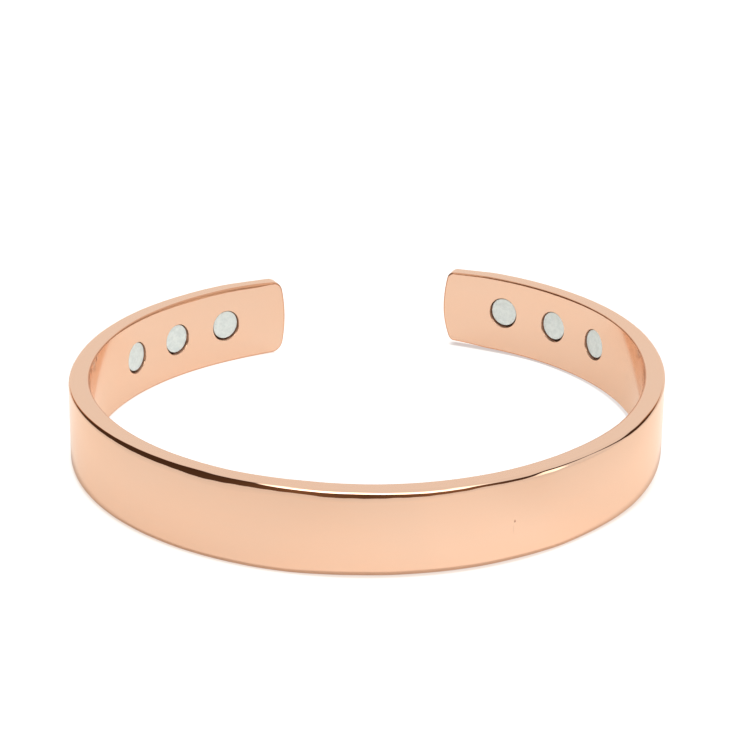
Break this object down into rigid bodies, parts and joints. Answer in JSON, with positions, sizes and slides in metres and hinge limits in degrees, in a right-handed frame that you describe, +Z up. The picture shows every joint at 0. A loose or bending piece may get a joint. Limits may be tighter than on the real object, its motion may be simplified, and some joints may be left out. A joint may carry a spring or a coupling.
{
  "type": "open cuff bracelet with inset disc magnets",
  "caption": "Open copper cuff bracelet bent from a flat bar with rounded ends, with disc magnets set in pockets in its inner face near both ends.",
  "frame": {"origin": "on the surface that the cuff lies on, under the middle of the whole cuff", "axes": "+Z up across the height of the bar; -Y towards the middle of the closed front; +Y towards the gap between the ends; +X to the right as seen from the front"},
  "size_m": [0.0652, 0.0652, 0.009],
  "materials": {
    "copper": "polished copper with fine rubbing marks",
    "magnet": "dull silver plating, slightly grainy"
  },
  "bodies": {
    "root": {"cuff": "copper", "magnet_left_1": "magnet", "magnet_left_2": "magnet", "magnet_left_3": "magnet", "magnet_right_1": "magnet", "magnet_right_2": "magnet", "magnet_right_3": "magnet"}
  },
  "joints": []
}
